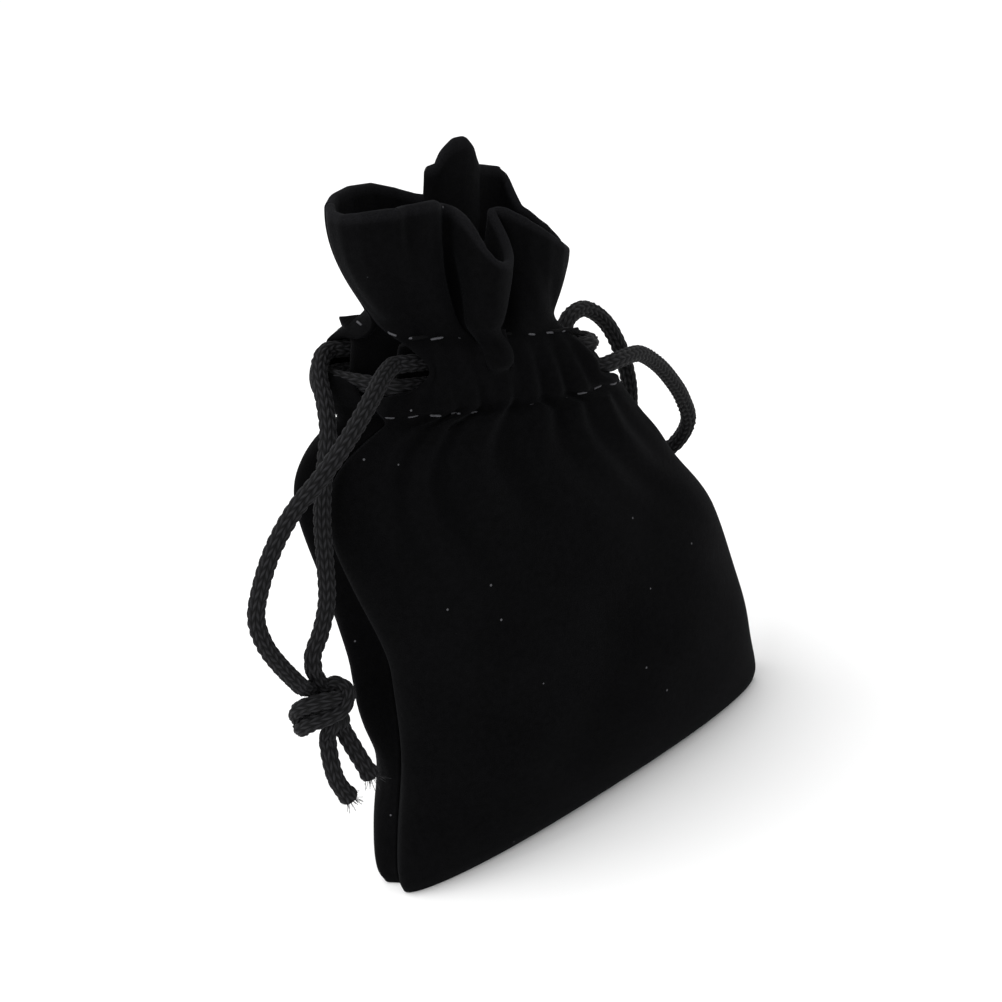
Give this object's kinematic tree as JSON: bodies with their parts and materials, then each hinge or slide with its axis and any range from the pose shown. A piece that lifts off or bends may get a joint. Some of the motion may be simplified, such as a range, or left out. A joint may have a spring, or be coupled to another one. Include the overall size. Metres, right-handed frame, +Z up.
{
  "type": "drawstring dice bag",
  "caption": "Stuffed velvet drawstring pouch standing upright, with a pleated mouth and a knotted cord loop hanging from each side of its gathered neck.",
  "frame": {"origin": "on the rest plane, under the middle of the bag without its free cords", "axes": "+Z up along the bag's height, front panel towards -Y, +X along the bottom seam"},
  "size_m": [0.1112, 0.0408, 0.1187],
  "materials": {
    "velvet": "black short-pile velvet, matt with a faint sheen at folds",
    "thread": "dark grey sewing thread",
    "cord": "black knitted nylon cord, slightly glossy"
  },
  "bodies": {
    "bag": {"front_panel": "velvet", "back_panel": "velvet", "left_seam_allowance": "velvet", "right_seam_allowance": "velvet", "bottom_seam_allowance": "velvet", "front_casing": "velvet", "back_casing": "velvet", "front_upper_stitches": "thread", "front_lower_stitches": "thread", "back_upper_stitches": "thread", "back_lower_stitches": "thread", "left_cord_run": "cord", "right_cord_run": "cord"},
    "front_frill": {"front_frill": "velvet"},
    "back_frill": {"back_frill": "velvet"},
    "left_pull": {"left_cord_front_inlet": "cord", "left_cord_back_inlet": "cord"},
    "left_loop": {"left_cord_front_strand": "cord", "left_cord_back_strand": "cord", "left_knot": "cord", "left_cord_front_tail": "cord", "left_cord_back_tail": "cord"},
    "right_pull": {"right_cord_front_inlet": "cord", "right_cord_back_inlet": "cord"},
    "right_loop": {"right_cord_front_strand": "cord", "right_cord_back_strand": "cord", "right_knot": "cord", "right_cord_front_tail": "cord", "right_cord_back_tail": "cord"}
  },
  "joints": [
    {"name": "front_frill_fold", "type": "hinge", "parent": "bag", "child": "front_frill", "pos_m": [-0.006, -0.01027, 0.09249], "axis": [0.9519, -0.1338, -0.2756], "range_deg": [0, 25]},
    {"name": "back_frill_fold", "type": "hinge", "parent": "bag", "child": "back_frill", "pos_m": [-0.00333, 0.00874, 0.09249], "axis": [0.9519, -0.1338, -0.2756], "range_deg": [-25, 0]},
    {"name": "left_drawstring_pull", "type": "slide", "parent": "bag", "child": "left_pull", "axis": [-0.9519, 0.1338, 0.2756], "range_m": [0, 0.0115]},
    {"name": "right_drawstring_pull", "type": "slide", "parent": "bag", "child": "right_pull", "axis": [0.9519, -0.1338, -0.2756], "range_m": [0, 0.0115]},
    {"name": "left_loop_swing", "type": "hinge", "parent": "left_pull", "child": "left_loop", "pos_m": [-0.02051, 0.00146, 0.09245], "axis": [-0.207, 0.9734, 0.0976], "range_deg": [0, 20]},
    {"name": "right_loop_swing", "type": "hinge", "parent": "right_pull", "child": "right_loop", "pos_m": [0.01311, -0.00326, 0.07855], "axis": [-0.207, 0.9734, 0.0976], "range_deg": [-20, 0]}
  ]
}
